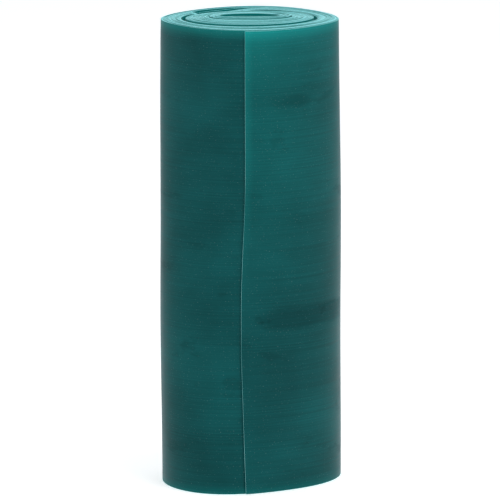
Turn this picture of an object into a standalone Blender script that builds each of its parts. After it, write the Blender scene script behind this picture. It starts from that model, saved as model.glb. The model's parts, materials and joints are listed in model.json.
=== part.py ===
"""Resistance band: one flat strip of natural latex, rolled up and standing on its end.

The band is a single strip. It is cut here into the stretches that move apart in use: three coils that
can slide out of each other, and the last half turn, a row of panels that peel off the roll and lie flat.
Units are metres, +Z is up, and the origin is the middle of the roll on the surface that it stands on.
The oval roll has its long way along X, and its free end at the front, -Y.
"""

import bisect
import math

import bmesh
import bpy
from mathutils import Vector

# The flat band
BAND_WIDTH = 0.150
BAND_THICKNESS = 0.00030
TURN_PITCH = 0.00031

# The roll, seen from above: turns laid round a flat oval slot
SLOT_HALF_LENGTH = 0.0094
SLOT_HALF_DEPTH = 0.0030
ROLL_HALF_LENGTH = 0.0283

# Where the free end lies, as the direction that its face looks in, anticlockwise from +X
FREE_END_ANGLE = math.radians(263)

# How much of the band is in each stretch, in turns, from the free end inward
PEELED_TURNS = 1 / 2
PANEL_COUNT = 7
OUTER_COIL_TURNS = 21 + 1 / 12
INNER_COIL_TURNS = 22 + 5 / 12
CORE_COIL_TURNS = 10 + 2 / 3

# How much further apart than usual the turns are between two stretches
PANEL_GAP = 0.0003
RING_GAP = 0.0008
CORE_GAP = 0.0006

# Facets: the turns of a coil share their corner directions, so that they nest
COIL_STEPS_PER_TURN = 24
PANEL_STEPS = 4
HINGE_GAP = 0.0003

FULL_TURN = 2 * math.pi
PEELED_ANGLE = FULL_TURN * PEELED_TURNS
LENGTH_STEPS = 360
LATEX_ROUGHNESS = 0.42
LATEX_GREEN = (0.012, 0.135, 0.098, 1.0)
LATEX_DEEP_GREEN = (0.008, 0.095, 0.072, 1.0)
LATEX_PALE_GREEN = (0.022, 0.190, 0.140, 1.0)

# (name, turns, extra gap outside it, colour), from the peeled panels inward
COILS = (
    ("outer_coil", OUTER_COIL_TURNS, PANEL_GAP, LATEX_DEEP_GREEN),
    ("inner_coil", INNER_COIL_TURNS, RING_GAP, LATEX_GREEN),
    ("core_coil", CORE_COIL_TURNS, CORE_GAP, LATEX_PALE_GREEN),
)


def direction(angle):
    """The way that a face looks, for the angle anticlockwise from +X."""
    return Vector((math.cos(angle), math.sin(angle), 0))


def slot_support(angle):
    """How far the slot's oval reaches in a direction."""
    return math.hypot(SLOT_HALF_LENGTH * math.cos(angle), SLOT_HALF_DEPTH * math.sin(angle))


def roll_point(angle, build):
    """The point, facing the angle, on the oval that runs everywhere a height of build outside the slot."""
    reach = slot_support(angle)
    slope = (SLOT_HALF_DEPTH**2 - SLOT_HALF_LENGTH**2) * math.sin(angle) * math.cos(angle) / reach
    return direction(angle) * (reach + build) + direction(angle + math.pi / 2) * slope


def bend_radius(angle, build):
    """How sharply the band bends where it faces the angle."""
    return (SLOT_HALF_LENGTH * SLOT_HALF_DEPTH) ** 2 / slot_support(angle) ** 3 + build


def build_at(winding, gaps):
    """The height of the band's middle above the slot, after a winding angle from the free end inward.
    The gaps open gradually over the rest of the outermost turn, which leads under the free end."""
    outermost = ROLL_HALF_LENGTH - SLOT_HALF_LENGTH - BAND_THICKNESS / 2
    tucked = min(max((winding - PEELED_ANGLE) / (FULL_TURN - PEELED_ANGLE), 0), 1)
    return outermost - TURN_PITCH * winding / FULL_TURN - gaps * tucked * tucked * (3 - 2 * tucked)


def band_point(winding, gaps=0.0):
    """The middle of the band's thickness, after a winding angle from the free end inward."""
    return roll_point(FREE_END_ANGLE + winding, build_at(winding, gaps))


def latex(name, colour):
    material = bpy.data.materials.new(name)
    material.use_nodes = True
    material.diffuse_color = colour
    shader = material.node_tree.nodes["Principled BSDF"]
    shader.inputs["Base Color"].default_value = colour
    shader.inputs["Roughness"].default_value = LATEX_ROUGHNESS
    shader.inputs["Metallic"].default_value = 0.0
    return material


def add_stretch(name, windings, gaps, origin, colour):
    """One stretch of the band on its edge, as a closed strip through the given winding angles."""
    mesh = bmesh.new()
    sections = []
    for winding in windings:
        middle = band_point(winding, gaps) - origin
        half = direction(FREE_END_ANGLE + winding) * (BAND_THICKNESS / 2)
        rise = Vector((0, 0, BAND_WIDTH))
        corners = (middle - half, middle + half, middle + half + rise, middle - half + rise)
        sections.append([mesh.verts.new(corner) for corner in corners])
    for here, there in zip(sections, sections[1:]):
        for side in range(4):
            beside = (side + 1) % 4
            mesh.faces.new((here[side], here[beside], there[beside], there[side]))
    mesh.faces.new(reversed(sections[0]))
    mesh.faces.new(sections[-1])
    bmesh.ops.recalc_face_normals(mesh, faces=mesh.faces)
    data = bpy.data.meshes.new(name)
    mesh.to_mesh(data)
    mesh.free()
    data.materials.append(latex(name + "_latex", colour))
    stretch = bpy.data.objects.new(name, data)
    stretch.location = origin
    bpy.context.scene.collection.objects.link(stretch)
    return stretch


def add_coils():
    """The coils, each inside the one before it and sliding along Z in it. Returns the outermost."""
    made = []
    start, gaps = PEELED_ANGLE, 0.0
    for name, turns, gap, colour in COILS:
        gaps += gap
        steps = round(turns * COIL_STEPS_PER_TURN)
        windings = [start + FULL_TURN * step / COIL_STEPS_PER_TURN for step in range(steps + 1)]
        coil = add_stretch(name, windings, gaps, Vector((0, 0, 0)), colour)
        if made:
            coil.parent = made[-1]
        made.append(coil)
        start = windings[-1]
    return made[0]


def panel_name(number):
    return "free_end" if number == PANEL_COUNT else f"outer_turn_{number:02d}"


def hinge_windings():
    """Where each panel bends away from the one before it, counted from the roll outward, for panels of
    one length. The last value is the free end."""
    step = PEELED_ANGLE / LENGTH_STEPS
    lengths = [0.0]
    for index in range(LENGTH_STEPS):
        middle = step * (index + 0.5)
        lengths.append(lengths[-1] + step * bend_radius(FREE_END_ANGLE + middle, build_at(middle, 0)))
    found = []
    for number in range(PANEL_COUNT + 1):
        wanted = lengths[-1] * (PANEL_COUNT - number) / PANEL_COUNT
        index = min(bisect.bisect_right(lengths, wanted), LENGTH_STEPS) - 1
        share = (wanted - lengths[index]) / (lengths[index + 1] - lengths[index])
        found.append(step * (index + share))
    return found


def add_panels(roll):
    """The last half turn, as panels of equal length. Each hangs on the one before it."""
    parent, parent_hinge = roll, Vector((0, 0, 0))
    bounds = hinge_windings()
    for number, (inner, outer) in enumerate(zip(bounds, bounds[1:]), start=1):
        inner_trim = HINGE_GAP / 2 / bend_radius(FREE_END_ANGLE + inner, build_at(inner, 0))
        outer_trim = HINGE_GAP / 2 / bend_radius(FREE_END_ANGLE + outer, build_at(outer, 0))
        if number == 1:
            inner_trim *= 2
        if number == PANEL_COUNT:
            outer_trim = 0.0
        first, last = outer + outer_trim, inner - inner_trim
        windings = [first + (last - first) * step / PANEL_STEPS for step in range(PANEL_STEPS + 1)]
        hinge = band_point(inner)
        panel = add_stretch(panel_name(number), windings, 0.0, hinge, LATEX_GREEN)
        panel.parent = parent
        panel.location = hinge - parent_hinge
        parent, parent_hinge = panel, hinge


def main():
    for old in list(bpy.data.objects):
        bpy.data.objects.remove(old, do_unlink=True)
    add_panels(add_coils())


main()
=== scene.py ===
import json
import math

import bpy
import numpy as np
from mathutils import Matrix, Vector


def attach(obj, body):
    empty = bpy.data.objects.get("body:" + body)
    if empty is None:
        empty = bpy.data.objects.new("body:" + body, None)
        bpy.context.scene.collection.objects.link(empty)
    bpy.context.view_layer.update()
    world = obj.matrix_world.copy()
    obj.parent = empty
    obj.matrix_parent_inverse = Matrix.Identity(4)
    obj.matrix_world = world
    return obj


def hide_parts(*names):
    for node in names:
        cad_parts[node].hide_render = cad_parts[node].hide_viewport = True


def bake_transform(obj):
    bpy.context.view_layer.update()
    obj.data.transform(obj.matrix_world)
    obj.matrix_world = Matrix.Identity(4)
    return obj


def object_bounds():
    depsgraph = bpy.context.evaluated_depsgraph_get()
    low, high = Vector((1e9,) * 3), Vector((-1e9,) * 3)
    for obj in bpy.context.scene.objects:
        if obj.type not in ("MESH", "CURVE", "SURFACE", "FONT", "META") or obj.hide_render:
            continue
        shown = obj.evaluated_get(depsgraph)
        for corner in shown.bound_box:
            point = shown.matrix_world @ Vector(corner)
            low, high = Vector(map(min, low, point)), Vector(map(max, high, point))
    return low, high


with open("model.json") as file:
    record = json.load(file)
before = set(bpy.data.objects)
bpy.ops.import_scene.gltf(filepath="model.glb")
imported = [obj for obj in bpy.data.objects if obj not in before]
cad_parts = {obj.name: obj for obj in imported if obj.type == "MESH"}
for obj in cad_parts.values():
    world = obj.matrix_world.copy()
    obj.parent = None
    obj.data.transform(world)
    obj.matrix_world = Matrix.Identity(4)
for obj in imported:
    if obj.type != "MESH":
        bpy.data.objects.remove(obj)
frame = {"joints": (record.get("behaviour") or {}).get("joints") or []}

# The roll of latex, as one strip wound from the free end inward. A place on the strip is its winding,
# in turns from the free end, and its height across the band. Lengths are in metres.
CAD_LOW, CAD_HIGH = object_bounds()
BAND_WIDTH = CAD_HIGH.z - CAD_LOW.z
BAND_THICKNESS = 0.000288
EDGE_ROUNDING = 0.00004
TURN_PITCH = 0.00031

# The CAD roll's oval: its slot, its half length and the direction that the free end faces
SLOT_HALF_LENGTH = 0.0094
SLOT_HALF_DEPTH = 0.0030
ROLL_HALF_LENGTH = 0.0283
FREE_END_ANGLE = math.radians(263)
OUTERMOST_BUILD = ROLL_HALF_LENGTH - SLOT_HALF_LENGTH - BAND_THICKNESS / 2

# Where the strip passes from one coil to the next, in turns from the free end. It steps inward within
# CROSSING_TURNS to either side, and the crossing piece reaches SHEARED_TURNS to either side.
PEELED_TURNS = 1 / 2
RING_TURN = PEELED_TURNS + 21 + 1 / 12
CORE_TURN = RING_TURN + 22 + 5 / 12
LAST_TURN = CORE_TURN + 10 + 2 / 3
SHEARED_TURNS = 0.25
CROSSING_TURNS = 0.08

# How each coil lies: the air outside it at the top and how much more there is lower down, how its oval is
# turned at the foot and from a share of the height up, how far it is pushed sideways at the top, how far it
# stands above the outermost turn, and how much more than that its front does. The inner ovals turn ahead of
# the outer one, which leaves each coil free to slide. The slack comes in over SLACK_RAMP of the height.
COILS = (
    {"gap": 0.0, "slack": 0.0, "foot": math.radians(15), "top": math.radians(-17.5), "turned_by": 1.0,
     "push": (0.0, 0.0), "lift": 0.00022, "nod": 0.0},
    {"gap": 0.00135, "slack": 0.0002, "foot": math.radians(10.7), "top": math.radians(-14.5),
     "turned_by": 0.775, "push": (0.0001, -0.0001), "lift": 0.00032, "nod": 0.00052},
    {"gap": 0.00045, "slack": 0.00025, "foot": math.radians(7.4), "top": math.radians(-15),
     "turned_by": 0.675, "push": (0.0001, -0.0001), "lift": 0.00054, "nod": 0.00052},
)
SLACK_RAMP = 0.2

# The oval of the real roll against the CAD's: how much longer and deeper it is at the foot and the top,
# how pointed its ends are, and how far it leans to the right of the picture at the foot
LENGTHENED = {"foot": 1.056, "top": 1.015}
DEEPENED = {"foot": 1.024, "top": 0.982}
POINTED = {"foot": -0.05, "top": 0.31}
FOOT_PUSH = (0.00053, -0.00011)

# The end face: the rim rises to the right of the picture, the coils inside the ring gap rise towards the
# slot, each coil's lift comes in over the first LIFT_TURNS, and each turn wanders up and down, in waves of a
# size, a rate in radians a turn and a phase. The foot's turns stand a hair off the floor.
RIM_SLOPE = 0.00040
DOME = 0.00062
LIFT_TURNS = 1.6
WANDER = 0.00006
WANDER_WAVES = ((1.0, 2.31, 0.0), (1.0, 4.97, 1.3), (0.6, 9.1, 0.4))
FOOT_CLEARANCE, FOOT_WANDER, FOOT_RATE = 0.00006, 0.00004, 3.7

# A trough at the back left of the end face, where the outer coil's inner turns sit low. Its left and right
# ends are places across the picture, from the roll's middle.
TROUGH_DEPTH = 0.00135
TROUGH_TURN, TROUGH_TURN_RAMP = 8.2, 0.7
TROUGH_LEFT, TROUGH_LEFT_RAMP = -0.0181, 0.0014
TROUGH_RIGHT, TROUGH_RIGHT_RAMP = -0.0125, 0.0180
TROUGH_BACK_RAMP = 0.006

# The slot's near side, which bows inward in the upper part of the roll over the band's last few turns, and
# sinks a little
BOW_DEPTH, BOW_TURNS, BOW_RAMP, BOW_POWER = 0.0030, 3.6, 3.2, 1.3
BOW_MIDDLE, BOW_REACH, BOW_NEAR = -0.0016, 0.0102, 0.0022
BOW_STARTS, BOW_HEIGHT_RAMP = 0.3, 0.5
SUNK_DEPTH, SUNK_TURNS, SUNK_RAMP = 0.00025, 3.4, 0.4

# The wraps' slow waves: how far they stand out, how many there are round the roll, how many radians they
# turn in a metre of height, and their phase
WAVES = ((0.00010, 2, 38, 0.0), (0.00007, 3, -61, 1.7), (0.00005, 5, 93, 0.6))

# Two shallow dents in the wraps, each with its depth, bearing and reach to either side: a ledge, with the
# heights where it begins and fades, and a pressed place, with the height of its middle
LEDGE_DEPTH, LEDGE_BEARING, LEDGE_REACH = 0.00022, math.radians(300), math.radians(52)
LEDGE_BEGINS, LEDGE_BEGIN_RAMP, LEDGE_FADES, LEDGE_FADE_RAMP = 0.0520, 0.0035, 0.0560, 0.0120
PRESS_DEPTH, PRESS_BEARING, PRESS_REACH = 0.00014, math.radians(282), math.radians(22)
PRESS_HEIGHT, PRESS_SPREAD = 0.127, 0.009

# The free end: how far it stands off the roll, and over how many turns. Its cut edge is moved towards the
# left of the picture by EDGE_SHIFT, in turns, and by EDGE_SLANT more where the slant is full: it grows from
# the foot up to the height SLANT_FULL, and fades over SLANT_FADE below the height SLANT_TOP.
FLAP_STANDOFF, FLAP_TURNS = 0.00034, 0.055
EDGE_SHIFT, EDGE_SLANT, EDGE_TURNS = 0.0018, 0.0054, 0.12
SLANT_FULL, SLANT_FADE, SLANT_TOP = 0.046, 0.044, 0.104

# The last half turn's stretches: how long and how thin their tongues are, and how far these stay inside the
# cut edges, in roundings of those edges; where the first hinge's bend begins and how long it is, in panels;
# and how wide the free end's painted highlight is, a line of cut-edge colour on its outer face, where the
# strip bends to a radius of FREE_END_RADIUS
TONGUE_LENGTH, TONGUE_THINNESS, TONGUE_INSET = 0.0021, 0.72, 1.5
FIRST_BEND_START, FIRST_BEND_LENGTH = -0.25, 1.5
HIGHLIGHT_LINE_WIDTH, FREE_END_RADIUS = 0.00005, 0.043

# The camera, with its bearing from the front towards the right
CAMERA_BEARING = -12
CAMERA_ELEVATION = 12.3
CAMERA_DISTANCE = 2.533
CAMERA_LENS = 569.0
CAMERA_AIM = (0.00014, -0.00003, 0.07457)
CAMERA_TURN = math.radians(CAMERA_BEARING)

# How fine the meshes are: steps a turn in the coils, steps a panel in the peeling stretches, and rows up the
# width, with a few more in the coils where the ledge is. Then the angle from which an edge shades as sharp,
# and how many places the strip's length is measured at.
COIL_STEPS_PER_TURN = 88
CORE_STEPS_PER_TURN = 180
PEEL_STEPS = 14
PEEL_ROWS = 48
COIL_ROWS, EXTRA_COIL_ROWS = 12, (0.345, 0.375, 0.43)
SHARP_ANGLE = math.radians(38)
STRIP_SAMPLES = 20000


def smoothstep(value):
    t = np.clip(value, 0, 1)
    return t * t * (3 - 2 * t)


def hump(angle, middle, width):
    """1 at the middle angle, falling to 0 at width to either side, round the roll."""
    away = (angle - middle + math.pi) % (2 * math.pi) - math.pi
    return smoothstep(1 - np.abs(away) / width)


# ---------------------------------------------------------------- the shape of the strip

def slot_support(angle):
    return np.hypot(SLOT_HALF_LENGTH * np.cos(angle), SLOT_HALF_DEPTH * np.sin(angle))


def support_slope(angle):
    lopsided = SLOT_HALF_DEPTH**2 - SLOT_HALF_LENGTH**2
    return lopsided * np.sin(angle) * np.cos(angle) / slot_support(angle)


def bend_radius(angle, build):
    return (SLOT_HALF_LENGTH * SLOT_HALF_DEPTH) ** 2 / slot_support(angle) ** 3 + build


def bearing_of(angle, build):
    """The bearing from the roll's middle of the oval's point that faces angle."""
    return angle + np.arctan2(support_slope(angle), slot_support(angle) + build)


def facing_at(bearing, build):
    """The inverse of bearing_of, by Newton's method with bounded steps."""
    angle = np.array(bearing, float)
    for _ in range(14):
        reach = slot_support(angle) + build
        square = reach**2 + support_slope(angle) ** 2
        rate = bend_radius(angle, build) * reach / square
        miss = bearing_of(angle, build) - bearing
        angle = angle - np.clip(miss / rate, -0.35, 0.35)
    return angle


def oval_points(bearing, build):
    angle = facing_at(bearing, build)
    reach, slope = slot_support(angle) + build, support_slope(angle)
    across = reach * np.cos(angle) - slope * np.sin(angle)
    along = reach * np.sin(angle) + slope * np.cos(angle)
    return across, along


def by_height(pair, share):
    return pair["foot"] + (pair["top"] - pair["foot"]) * share


def settled_oval(bearing, build, share):
    """Points at a bearing on the oval as it has settled: stretched, and with its ends pinched or blunt."""
    longer, deeper, pointed = (by_height(pair, share) for pair in (LENGTHENED, DEEPENED, POINTED))
    aim = np.array(bearing, float)
    for _ in range(3):
        across, along = oval_points(aim, build)
        depth = deeper - pointed * (across / ROLL_HALF_LENGTH) ** 2
        seen = np.arctan2(along * depth, across * longer)
        aim = aim + (bearing - seen + math.pi) % (2 * math.pi) - math.pi
    across, along = oval_points(aim, build)
    depth = deeper - pointed * (across / ROLL_HALF_LENGTH) ** 2
    return across * longer, along * depth


def surface_waves(bearing, height):
    """How far the wraps stand out or in, as a hand-rolled band does: slow waves and two shallow dents."""
    waves = sum(size * np.sin(count * bearing + rate * height + phase) for size, count, rate, phase in WAVES)
    ledge = smoothstep((height - LEDGE_BEGINS) / LEDGE_BEGIN_RAMP)
    ledge = ledge * (1 - smoothstep((height - LEDGE_FADES) / LEDGE_FADE_RAMP))
    press = np.exp(-(((height - PRESS_HEIGHT) / PRESS_SPREAD) ** 2))
    waves = waves - LEDGE_DEPTH * ledge * hump(bearing, LEDGE_BEARING, LEDGE_REACH)
    return waves - PRESS_DEPTH * press * hump(bearing, PRESS_BEARING, PRESS_REACH)


def slot_bow(turns, across, along, share):
    """How far the core's turns bow in towards the slot, and how far they sink, on the side that is seen."""
    near_side = smoothstep(-along / BOW_NEAR) * (1 - smoothstep(np.abs(across - BOW_MIDDLE) / BOW_REACH))
    high_up = smoothstep((share - BOW_STARTS) / BOW_HEIGHT_RAMP)
    last_turns = np.clip((turns - LAST_TURN + BOW_TURNS) / BOW_RAMP, 0, 1) ** BOW_POWER
    sinks = smoothstep((turns - LAST_TURN + SUNK_TURNS) / SUNK_RAMP)
    return BOW_DEPTH * near_side * high_up * last_turns, SUNK_DEPTH * near_side * sinks


def end_face_relief(turns, x, y, lift, in_outer_coil):
    """How high each turn stands on the end face, from how high its coil does and where the point is."""
    lift = lift * smoothstep(turns / LIFT_TURNS)
    lift = lift + DOME * np.clip((turns - RING_TURN) / (LAST_TURN - RING_TURN), 0, 1)
    seen_across = x * math.cos(CAMERA_TURN) + y * math.sin(CAMERA_TURN)
    seen_behind = y * math.cos(CAMERA_TURN) - x * math.sin(CAMERA_TURN)
    lift = lift + RIM_SLOPE * seen_across / ROLL_HALF_LENGTH
    inside = smoothstep((turns - TROUGH_TURN) / TROUGH_TURN_RAMP) * in_outer_coil
    behind = smoothstep(seen_behind / TROUGH_BACK_RAMP)
    trough = smoothstep((seen_across - TROUGH_LEFT) / TROUGH_LEFT_RAMP)
    trough = trough * (1 - smoothstep((seen_across - TROUGH_RIGHT) / TROUGH_RIGHT_RAMP))
    lift = lift - TROUGH_DEPTH * inside * behind * trough
    wander = sum(size * np.sin(rate * turns + phase) for size, rate, phase in WANDER_WAVES)
    return lift + WANDER * wander * smoothstep(turns)


def strip_points(turns, offset, share):
    """Points of the strip: turns wound in from the free end, offset out from its middle, and share of
    the way up its width. The arrays are of one shape."""
    height = BAND_WIDTH * share
    slanted = smoothstep((SLANT_TOP - height) / SLANT_FADE) * np.clip(height / SLANT_FULL, 0, 1)
    turns = turns - (EDGE_SHIFT + EDGE_SLANT * slanted) * np.clip(1 - turns / EDGE_TURNS, 0, 1)
    build = OUTERMOST_BUILD - TURN_PITCH * turns
    build = build + FLAP_STANDOFF * np.clip(1 - turns / FLAP_TURNS, 0, 1) ** 2
    bearing = bearing_of(FREE_END_ANGLE + 2 * math.pi * turns, build)
    passed = (smoothstep((turns - RING_TURN) / (2 * CROSSING_TURNS) + 0.5),
              smoothstep((turns - CORE_TURN) / (2 * CROSSING_TURNS) + 0.5))
    weights = (1 - passed[0], passed[0] * (1 - passed[1]), passed[0] * passed[1])
    x, y, lift, gaps = 0, 0, 0, 0
    for weight, coil in zip(weights, COILS):
        gaps = gaps + coil["gap"] + coil["slack"] * smoothstep((1 - share) / SLACK_RAMP)
        if not np.any(weight > 0):
            continue
        turned = by_height(coil, np.minimum(share / coil["turned_by"], 1))
        across, along = settled_oval(bearing - turned, build - gaps + offset, share)
        if coil is COILS[-1]:
            bow, sunk = slot_bow(turns, across, along, share)
            along, lift = along + bow, lift - sunk
        x = x + weight * (across * np.cos(turned) - along * np.sin(turned) + coil["push"][0] * share)
        y = y + weight * (across * np.sin(turned) + along * np.cos(turned) + coil["push"][1] * share)
        nearer = -np.sin(bearing - CAMERA_TURN) * np.hypot(across, along) / ROLL_HALF_LENGTH
        lift = lift + weight * (coil["lift"] + coil["nod"] * nearer)
    out = surface_waves(bearing, height) * np.clip(1 - turns / RING_TURN, 0, 1)
    x = x + out * np.cos(bearing) + FOOT_PUSH[0] * (1 - share)
    y = y + out * np.sin(bearing) + FOOT_PUSH[1] * (1 - share)
    lift = end_face_relief(turns, x, y, lift, 1 - passed[0])
    foot = FOOT_CLEARANCE + FOOT_WANDER * np.sin(FOOT_RATE * turns)
    return x, y, foot * (1 - share) + (BAND_WIDTH + lift) * share


def measured_strip():
    """The length of strip from the free end to each of many windings, and those windings."""
    windings = np.linspace(0, LAST_TURN, STRIP_SAMPLES)
    middle = (windings[1:] + windings[:-1]) / 2
    build = OUTERMOST_BUILD - TURN_PITCH * middle
    build = build - COILS[1]["gap"] * (middle > RING_TURN) - COILS[2]["gap"] * (middle > CORE_TURN)
    radii = bend_radius(FREE_END_ANGLE + 2 * math.pi * middle, build)
    return np.concatenate([[0], np.cumsum(radii * 2 * math.pi * np.diff(windings))]), windings


LENGTHS, WINDINGS = measured_strip()


def length_to(turns):
    return np.interp(turns, WINDINGS, LENGTHS)


def winding_at(length):
    return np.interp(length, LENGTHS, WINDINGS)


# ---------------------------------------------------------------- materials

LATEX_DEEP = (0.0006, 0.058, 0.060, 1)
LATEX_PALE = (0.0022, 0.098, 0.101, 1)
# the colour of dull rubbed patches and the smudge, and of the painted shade in the dent
LATEX_DULL_AND_SHADE = (0.0006, 0.036, 0.038, 1)
# the colour of the painted glow, emission that stands in for light coming through the band
LATEX_GLOW = (0.020, 1.0, 0.93, 1)
POWDER = (0.16, 0.30, 0.30, 1)
CUT_DEEP = (0.095, 0.480, 0.490, 1)
CUT_PALE = (0.340, 0.900, 0.930, 1)

# How strongly the band is painted to glow, as emission that stands in for light coming through it: along its
# top edge, in a wider stretch below that, along its foot, in the loose layer near the free end, and along the
# free end's own edge
GLOW = {"top_edge": 0.105, "below_edge": 0.080, "foot": 0.05, "loose": 0.022, "hem": 0.030}
GLOW_FALLOFF = 1.6

# The two large dark patches, a smudge high up and painted shade in the dent lower down: where their middles
# are, from the free end and from the foot, their half length and half height, and how strong they are. Then
# how square and how ragged their outline is, and how it fades.
SMUDGE_AND_DENT_SHADE = (
    ((0.0148, 0.1266), (0.0080, 0.0026), 0.62),
    # painted shade in the dent, where the surface tilts down
    ((0.0230, 0.0560), (0.0200, 0.0050), 0.50),
)
SMUDGE_SQUARENESS, SMUDGE_RAGGEDNESS = 2.5, 1.6
SMUDGE_FADES_FROM, SMUDGE_FADES_TO = -0.75, 0.25


def new_material(name):
    material = bpy.data.materials.new(name)
    material.use_nodes = True
    tree = material.node_tree
    return material, tree, tree.nodes["Principled BSDF"]


def add_node(tree, kind, **settings):
    node = tree.nodes.new(kind)
    for key, value in settings.items():
        if isinstance(value, (int, float, tuple)) and key in node.inputs:
            node.inputs[key].default_value = value
        else:
            setattr(node, key, value)
    return node


def math_node(tree, operation, first, second=None):
    node = tree.nodes.new("ShaderNodeMath")
    node.operation = operation
    for socket, value in zip(node.inputs, (first, second)):
        if value is None:
            continue
        if isinstance(value, (int, float)):
            socket.default_value = value
        else:
            tree.links.new(value, socket)
    return node.outputs[0]


def multiply(tree, first, second):
    return math_node(tree, "MULTIPLY", first, second)


def total_of(tree, parts):
    """The sum of the parts, each a value times a factor."""
    total = None
    for value, factor in parts:
        part = multiply(tree, value, factor)
        total = part if total is None else math_node(tree, "ADD", total, part)
    return total


def mix_colour(tree, share, first, second):
    """Two colours mixed. A Mix node's colours are its inputs 6 and 7 and its output 2."""
    node = tree.nodes.new("ShaderNodeMix")
    node.data_type = "RGBA"
    for socket, value in ((node.inputs[0], share), (node.inputs[6], first), (node.inputs[7], second)):
        if isinstance(value, (int, float, tuple)):
            socket.default_value = value
        else:
            tree.links.new(value, socket)
    return node.outputs[2]


def stretched_noise(tree, place, scale, detail=4.0, roughness=0.55):
    """Noise over the flat strip, with its own fineness along and across it, in cells a metre."""
    mapping = add_node(tree, "ShaderNodeMapping")
    mapping.inputs["Scale"].default_value = (scale[0], scale[1], 1)
    tree.links.new(place, mapping.inputs["Vector"])
    noise = add_node(tree, "ShaderNodeTexNoise", Scale=1.0, Detail=detail, Roughness=roughness)
    noise.noise_dimensions = "2D"
    tree.links.new(mapping.outputs[0], noise.inputs["Vector"])
    return noise.outputs["Fac"]


def remap(tree, value, low, high, to_low=0.0, to_high=1.0, smooth=False):
    node = tree.nodes.new("ShaderNodeMapRange")
    node.interpolation_type = "SMOOTHSTEP" if smooth else "LINEAR"
    node.clamp = True
    tree.links.new(value, node.inputs["Value"])
    for key, number in (("From Min", low), ("From Max", high), ("To Min", to_low), ("To Max", to_high)):
        node.inputs[key].default_value = number
    return node.outputs["Result"]


def dark_patch(tree, place, grain, middle, size, strength):
    """A ragged oval patch on the flat strip. Place, middle and size are pairs, along and across it."""
    ragged = multiply(tree, grain, -SMUDGE_RAGGEDNESS)
    for value, centre, half in zip(place, middle, size):
        aside = math_node(tree, "DIVIDE", math_node(tree, "SUBTRACT", value, centre), half)
        away = math_node(tree, "POWER", math_node(tree, "ABSOLUTE", aside), SMUDGE_SQUARENESS)
        ragged = math_node(tree, "ADD", ragged, away)
    return remap(tree, ragged, SMUDGE_FADES_FROM, SMUDGE_FADES_TO, strength, 0.0, smooth=True)


def latex_glow(tree, along, across):
    """A painted glow, emission that stands in for the light that comes through the band: at its cut edges,
    and in the single loose layer near the free end, more so high up."""
    loose = remap(tree, along, 0.002, 0.046, 1.0, 0.0, smooth=True)
    high = remap(tree, across, 0.045, 0.125, 0.0, 1.0, smooth=True)
    hem = remap(tree, along, 0.0004, 0.0030, 1.0, 0.0, smooth=True)
    from_top = math_node(tree, "SUBTRACT", BAND_WIDTH, across)
    near_edge = math_node(tree, "POWER", remap(tree, from_top, 0.0, 0.0042, 1.0, 0.0), GLOW_FALLOFF)
    below_edge = math_node(tree, "POWER", remap(tree, from_top, 0.0, 0.021, 1.0, 0.0), GLOW_FALLOFF)
    below_edge = multiply(tree, below_edge, remap(tree, along, 0.001, 0.017, 1.0, 0.45, smooth=True))
    near_foot = math_node(tree, "POWER", remap(tree, across, 0.0, 0.0035, 1.0, 0.0), GLOW_FALLOFF)
    return total_of(tree, [(near_edge, GLOW["top_edge"]),
                           (multiply(tree, below_edge, loose), GLOW["below_edge"]),
                           (near_foot, GLOW["foot"]),
                           (multiply(tree, loose, high), GLOW["loose"]),
                           (multiply(tree, hem, high), GLOW["hem"])])


def latex_material():
    """Dark green latex: fine streaks along the strip, clouds, a smudge, painted shade in the lower dent,
    specks of powder, and a painted glow.
    """
    material, tree, shader = new_material("green_latex")
    uv = add_node(tree, "ShaderNodeUVMap", uv_map="Strip")
    parts = add_node(tree, "ShaderNodeSeparateXYZ")
    tree.links.new(uv.outputs[0], parts.inputs[0])
    along, across = parts.outputs[0], parts.outputs[1]

    streaks = stretched_noise(tree, uv.outputs[0], (14, 2200), detail=4.0, roughness=0.6)
    fine_streaks = stretched_noise(tree, uv.outputs[0], (40, 3200), detail=3.0)
    clouds = stretched_noise(tree, uv.outputs[0], (28, 38), detail=3.0)
    patches = stretched_noise(tree, uv.outputs[0], (62, 130), detail=4.0, roughness=0.7)
    specks = stretched_noise(tree, uv.outputs[0], (2100, 2600), detail=1.0)

    tone = total_of(tree, [(streaks, 0.45), (clouds, 0.55)])
    colour = mix_colour(tree, remap(tree, tone, 0.35, 0.65), LATEX_DEEP, LATEX_PALE)
    # painted light: the glow is emission that stands in for light through the band
    tree.links.new(latex_glow(tree, along, across), shader.inputs["Emission Strength"])
    shader.inputs["Emission Color"].default_value = LATEX_GLOW

    # dull patches where the powder has been rubbed off, a smudge, and painted shade in the lower dent, all
    # darker and rougher; then pale specks of powder
    dull_and_shade = remap(tree, patches, 0.60, 0.72, 0.0, 0.30, smooth=True)
    for middle, size, strength in SMUDGE_AND_DENT_SHADE:
        dull_and_shade = math_node(tree, "ADD", dull_and_shade, dark_patch(tree, (along, across), patches, middle, size, strength))
    colour = mix_colour(tree, dull_and_shade, colour, LATEX_DULL_AND_SHADE)
    dust = remap(tree, specks, 0.735, 0.80, 0.0, 0.34)
    colour = mix_colour(tree, dust, colour, POWDER)
    tree.links.new(colour, shader.inputs["Base Color"])

    rough = math_node(tree, "ADD", remap(tree, streaks, 0.3, 0.7, 0.40, 0.52), multiply(tree, dull_and_shade, 0.25))
    tree.links.new(rough, shader.inputs["Roughness"])
    relief = total_of(tree, [(streaks, 0.7), (fine_streaks, 0.3)])
    bump = add_node(tree, "ShaderNodeBump", Strength=0.16, Distance=0.00012)
    tree.links.new(relief, bump.inputs["Height"])
    tree.links.new(bump.outputs[0], shader.inputs["Normal"])
    shader.inputs["IOR"].default_value = 1.52
    shader.inputs["Sheen Weight"].default_value = 0.22
    shader.inputs["Sheen Roughness"].default_value = 0.32
    shader.inputs["Sheen Tint"].default_value = (0.80, 0.92, 1.0, 1)
    shader.inputs["Specular IOR Level"].default_value = 0.08
    return material


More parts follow.
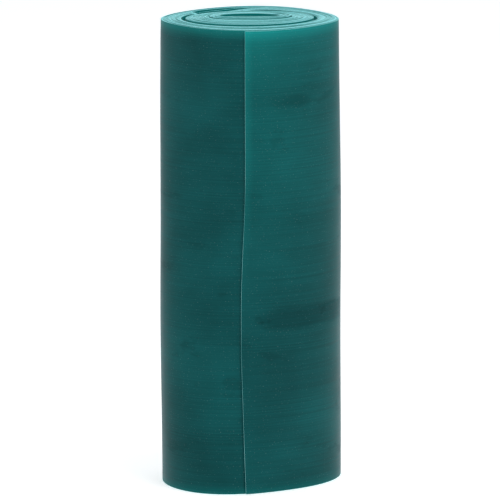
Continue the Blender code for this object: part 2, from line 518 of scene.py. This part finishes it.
def cut_edge_and_highlight_material():
    """The knife-cut edge of the strip: paler and matt, and no two turns quite alike. The same colours are
    painted on a thin line of the free end's outer face as a highlight.
    """
    material, tree, shader = new_material("cut_latex_edge_and_highlight")
    uv = add_node(tree, "ShaderNodeUVMap", uv_map="Strip")
    turns = stretched_noise(tree, uv.outputs[0], (17, 40), detail=2.0)
    grain = stretched_noise(tree, uv.outputs[0], (1600, 2600), detail=3.0, roughness=0.7)
    tone = total_of(tree, [(turns, 0.7), (grain, 0.3)])
    colour = mix_colour(tree, remap(tree, tone, 0.36, 0.64), CUT_DEEP, CUT_PALE)
    tree.links.new(colour, shader.inputs["Base Color"])
    tree.links.new(remap(tree, grain, 0.3, 0.7, 0.55, 0.75), shader.inputs["Roughness"])
    bump = add_node(tree, "ShaderNodeBump", Strength=0.3, Distance=0.00005)
    tree.links.new(grain, bump.inputs["Height"])
    tree.links.new(bump.outputs[0], shader.inputs["Normal"])
    shader.inputs["Sheen Weight"].default_value = 0.15
    return material


LATEX = latex_material()
CUT_EDGE_AND_HIGHLIGHT = cut_edge_and_highlight_material()


# ---------------------------------------------------------------- building stretches of strip

def rows_for(count, extra=()):
    """Heights across the strip, as shares: evenly spread, closer near both edges, and any extra ones."""
    edge = EDGE_ROUNDING / BAND_WIDTH
    near = np.array([edge, 0.004, 0.012, 0.028])
    even = np.linspace(0.05, 0.95, count)
    return np.unique(np.concatenate([near, even, 1 - near, np.array(extra)]))


PEEL_SHARES = rows_for(PEEL_ROWS)
COIL_SHARES = rows_for(COIL_ROWS, EXTRA_COIL_ROWS)


def section_of(shares):
    """A strip's cross section as a loop: up the outer face, over the cut edge, down the inner face and
    under. Returns offsets from the middle, shares of the width, and which sides are cut edge."""
    half = BAND_THICKNESS / 2
    round_off = half - EDGE_ROUNDING
    offsets = [half] * len(shares) + [round_off, -round_off] + [-half] * len(shares) + [-round_off, round_off]
    heights = [*shares, 1.0, 1.0, *shares[::-1], 0.0, 0.0]
    rows = len(shares)
    cut = set(range(rows - 1, rows + 2)) | set(range(2 * rows + 1, 2 * rows + 4))
    return np.array(offsets), np.array(heights), cut


def add_strip(name, turns, shares, tongue=0.0, cut_end_with_highlight=False):
    """A closed stretch of the strip through the given windings, from the free end's side inward. A tongue
    is a thinner tip that reaches into the next stretch, so that a bend opens no slit between the two. At a
    first end with a highlight, the cap shows as cut latex, and the first thin stretch of the outer face is
    painted in the cut-edge colours as a highlight."""
    offsets, heights, cut = section_of(shares)
    turns = np.array(turns, float)
    thin = np.ones(len(turns))
    if tongue:
        turns = np.concatenate([turns, [turns[-1] + 1e-6, turns[-1] + tongue]])
        thin = np.concatenate([thin, [TONGUE_THINNESS, TONGUE_THINNESS]])
    count, ring = len(turns), len(offsets)
    wide_turns = np.repeat(turns[:, None], ring, 1)
    wide_offsets = thin[:, None] * offsets[None, :]
    wide_heights = np.repeat(heights[None, :], count, 0)
    inset = np.where(thin < 1, EDGE_ROUNDING / BAND_WIDTH * TONGUE_INSET, 0)[:, None]
    wide_heights = np.clip(wide_heights, inset, 1 - inset)
    x, y, z = strip_points(wide_turns, wide_offsets, wide_heights)
    points = np.stack([x, y, z], -1).reshape(-1, 3)

    # the sides run from section to section, and a cap closes each end in rows between the two faces
    here = np.arange(count - 1)[:, None] * ring
    side = np.arange(ring)[None, :]
    beside = (side + 1) % ring
    sides = np.stack([here + side, here + ring + side, here + ring + beside, here + beside], -1)
    sides = sides.reshape(-1, 4)
    rows = len(shares)
    outer = np.arange(rows)
    inner = 2 * rows + 1 - outer
    ladder = [(outer[k], outer[k + 1], inner[k + 1], inner[k]) for k in range(rows - 1)]
    ladder.append((rows - 1, rows, rows + 1, rows + 2))
    ladder.append((2 * rows + 3, 0, 2 * rows + 1, 2 * rows + 2))
    ladder = np.array(ladder)
    caps = np.concatenate([ladder, ladder[:, ::-1] + (count - 1) * ring])
    faces = np.concatenate([sides, caps])

    mesh = bpy.data.meshes.new(name)
    mesh.vertices.add(len(points))
    mesh.vertices.foreach_set("co", points.astype(np.float32).ravel())
    mesh.loops.add(faces.size)
    mesh.loops.foreach_set("vertex_index", faces.ravel().astype(np.int32))
    mesh.polygons.add(len(faces))
    mesh.polygons.foreach_set("loop_start", np.arange(0, faces.size, 4, dtype=np.int32))
    cut_and_highlight_faces = np.isin(np.tile(np.arange(ring), count - 1), list(cut))
    is_cap_cut = np.zeros(len(caps), bool)
    # the free end's cap is cut latex, and the first thin stretch of its outer face is a painted highlight in
    # the cut-edge colours
    if cut_end_with_highlight:
        cut_and_highlight_faces[:rows - 1] = True
        is_cap_cut[:len(ladder)] = True
    slots = np.concatenate([cut_and_highlight_faces, is_cap_cut]).astype(np.int32)
    mesh.polygons.foreach_set("material_index", slots)
    mesh.polygons.foreach_set("use_smooth", np.ones(len(faces), bool))
    mesh.materials.append(LATEX)
    mesh.materials.append(CUT_EDGE_AND_HIGHLIGHT)
    mesh.update()
    mesh.validate()

    flat = np.stack([length_to(wide_turns), wide_heights * BAND_WIDTH], -1).reshape(-1, 2)
    layer = mesh.uv_layers.new(name="Strip")
    corner = np.empty(len(mesh.loops), np.int32)
    mesh.loops.foreach_get("vertex_index", corner)
    layer.data.foreach_set("uv", flat[corner].astype(np.float32).ravel())
    mesh.set_sharp_from_angle(angle=SHARP_ANGLE)
    strip = bpy.data.objects.new(name, mesh)
    bpy.context.scene.collection.objects.link(strip)
    return strip


def windings_between(first, last, steps_per_turn):
    return np.linspace(first, last, max(2, round((last - first) * steps_per_turn)) + 1)


# ---------------------------------------------------------------- the coils and the last half turn


def add_coil(name, first, last, steps, body):
    coil = add_strip(name, windings_between(first, last, steps), COIL_SHARES)
    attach(coil, body)
    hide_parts(body)


def add_crossing(name, turn, steps):
    """The half turn of strip that crosses from one coil to the next."""
    first, last = turn - SHEARED_TURNS, turn + SHEARED_TURNS
    crossing = add_strip(name, windings_between(first, last, steps), COIL_SHARES)
    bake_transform(crossing)


def hinge_turns(joints):
    """The winding of each peeling hinge, from the roll outward, read from its bearing."""
    found = []
    for joint in joints:
        x, y, _ = joint["pos_m"]
        build = OUTERMOST_BUILD - TURN_PITCH * PEELED_TURNS / 2
        angle = float(facing_at(np.array([math.atan2(y, x)]), build)[0])
        found.append(((angle - FREE_END_ANGLE) / (2 * math.pi)) % 1)
    return found


def unsmooth(value):
    """The inverse of smoothstep."""
    return 0.5 - math.sin(math.asin(1 - 2 * value) / 3)


def add_peeling_end():
    """The last half turn, in stretches that each span one hinge, from the middle of one panel to the middle
    of the next. Where each stretch's bend would begin and how long it would be is worked out from the weights
    of an evenly curved strip being straightened, but not used. Returns the winding where the wraps begin."""
    joints = [j for j in frame["joints"] if j["name"].startswith("peel_")]
    turns = hinge_turns(joints)
    places = [float(length_to(turn)) for turn in turns]
    panel = places[0] / len(joints)
    degrees = [float(winding_at(place)) * 360 for place in [*places, 0.0]]
    bends = [0.0, *(inner - outer for inner, outer in zip(degrees, degrees[1:]))]
    for number, joint in enumerate(joints):
        is_last = number == len(joints) - 1
        inner_end = places[number] + panel / 2
        outer_end = 0.0 if is_last else places[number] - panel / 2
        steps = 2 * PEEL_STEPS if is_last else PEEL_STEPS
        spread = winding_at(np.linspace(outer_end, inner_end, steps + 1))
        if is_last:
            # a thin stretch at the free end, painted in the cut-edge colours as a highlight
            highlight_line = HIGHLIGHT_LINE_WIDTH / (2 * math.pi * FREE_END_RADIUS)
            spread = np.concatenate([[spread[0], spread[0] + highlight_line], spread[1:]])
        tongue = float(winding_at(inner_end + TONGUE_LENGTH) - spread[-1]) if number else 0.0
        piece = add_strip(f"peel_stretch_{number + 1:02d}", spread, PEEL_SHARES, tongue, cut_end_with_highlight=is_last)
        if number:
            before, after = bends[number], bends[number + 1]
            low = unsmooth(before / (2 * (before + after)))
            high = unsmooth(1 - after / (2 * (before + after)))
            span = panel / (high - low)
            start = -(panel / 2 + low * span)
        else:
            start, span = FIRST_BEND_START * panel, FIRST_BEND_LENGTH * panel
        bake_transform(piece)
        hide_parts(joint["child"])
    return float(winding_at(places[0] + panel / 2))


WRAPS_START = add_peeling_end()
add_coil("outer_wraps", WRAPS_START, RING_TURN - SHEARED_TURNS, COIL_STEPS_PER_TURN, "outer_coil")
add_crossing("ring_crossing", RING_TURN, COIL_STEPS_PER_TURN)
add_coil("inner_wraps", RING_TURN + SHEARED_TURNS, CORE_TURN - SHEARED_TURNS, COIL_STEPS_PER_TURN,
         "inner_coil")
add_crossing("core_crossing", CORE_TURN, CORE_STEPS_PER_TURN)
add_coil("core_wraps", CORE_TURN + SHEARED_TURNS, LAST_TURN, CORE_STEPS_PER_TURN, "core_coil")


# ---------------------------------------------------------------- floor, light and camera

FLOOR_HALF_SIDE, FLOOR_DROP = 6.0, 0.0001
FLOOR_GREY, FLOOR_GLOW = 0.86, 0.5

# Each softbox: its bearing and elevation in degrees, its distance and side in metres, and its power in watts
SOFTBOXES = {
    "key": (52, 38, 1.3, 0.9, 6.8),
    "fill": (-42, 22, 1.5, 1.0, 2.4),
    "overhead": (0, 84, 1.1, 0.8, 4),
}

# The room's light behind the camera and behind the roll, the cosines of the angle from straight ahead that
# it changes between, and its tint
ROOM_DIM, ROOM_BRIGHT = 0.10, 0.95
ROOM_DIM_FROM, ROOM_BRIGHT_FROM = -0.35, 0.85
ROOM_TINT = (0.90, 0.96, 1, 1)


def add_floor():
    material, _, shader = new_material("pale_floor")
    shader.inputs["Base Color"].default_value = (FLOOR_GREY, FLOOR_GREY, FLOOR_GREY, 1)
    shader.inputs["Roughness"].default_value = 0.9
    shader.inputs["Emission Color"].default_value = (1, 1, 1, 1)
    shader.inputs["Emission Strength"].default_value = FLOOR_GLOW
    mesh = bpy.data.meshes.new("floor")
    side = FLOOR_HALF_SIDE
    corners = [(-side, -side, 0), (side, -side, 0), (side, side, 0), (-side, side, 0)]
    mesh.from_pydata(corners, [], [(0, 1, 2, 3)])
    mesh.materials.append(material)
    floor = bpy.data.objects.new("floor", mesh)
    floor.location.z = -FLOOR_DROP
    bpy.context.scene.collection.objects.link(floor)


def towards(bearing, elevation):
    """The direction of a bearing from the front towards the right and an elevation, in degrees."""
    turn, rise = math.radians(bearing), math.radians(elevation)
    return Vector((math.sin(turn) * math.cos(rise), -math.cos(turn) * math.cos(rise), math.sin(rise)))


def aim_back(thing, place, away):
    """Puts a lamp or a camera at a place and has it look back along the direction away."""
    thing.location = place
    thing.rotation_mode = "QUATERNION"
    thing.rotation_quaternion = (-away).to_track_quat("-Z", "Y")
    bpy.context.scene.collection.objects.link(thing)


def add_softbox(name, bearing, elevation, distance, size, power):
    """A square light that looks at the middle of the roll. Bearing 0 is the camera's side, and positive
    bearings are to its right."""
    light = bpy.data.lights.new(name, "AREA")
    light.shape = "SQUARE"
    light.size = size
    light.energy = power
    away = towards(CAMERA_BEARING + bearing, elevation)
    aim_back(bpy.data.objects.new(name, light), Vector((0, 0, BAND_WIDTH / 2)) + away * distance, away)


def add_studio():
    """A white room: bright behind the roll, which lights its rims, and dim behind the camera."""
    world = bpy.data.worlds.new("studio")
    bpy.context.scene.world = world
    world.use_nodes = True
    tree = world.node_tree
    background = tree.nodes["Background"]
    place = tree.nodes.new("ShaderNodeTexCoord")
    ahead = tree.nodes.new("ShaderNodeVectorMath")
    ahead.operation = "DOT_PRODUCT"
    tree.links.new(place.outputs["Generated"], ahead.inputs[0])
    ahead.inputs[1].default_value = (-math.sin(CAMERA_TURN), math.cos(CAMERA_TURN), 0)
    lit = remap(tree, ahead.outputs["Value"], ROOM_DIM_FROM, ROOM_BRIGHT_FROM, ROOM_DIM, ROOM_BRIGHT,
                smooth=True)
    tree.links.new(lit, background.inputs["Strength"])
    background.inputs["Color"].default_value = ROOM_TINT


def add_camera():
    data = bpy.data.cameras.new("camera")
    data.sensor_width = 36
    data.lens = CAMERA_LENS
    data.clip_start, data.clip_end = 0.05, 50
    camera = bpy.data.objects.new("camera", data)
    away = towards(CAMERA_BEARING, CAMERA_ELEVATION)
    aim_back(camera, Vector(CAMERA_AIM) + away * CAMERA_DISTANCE, away)
    bpy.context.scene.camera = camera


add_camera()
add_floor()
for softbox, placing in SOFTBOXES.items():
    add_softbox(softbox, *placing)
add_studio()
bpy.context.scene.view_settings.view_transform = "Standard"
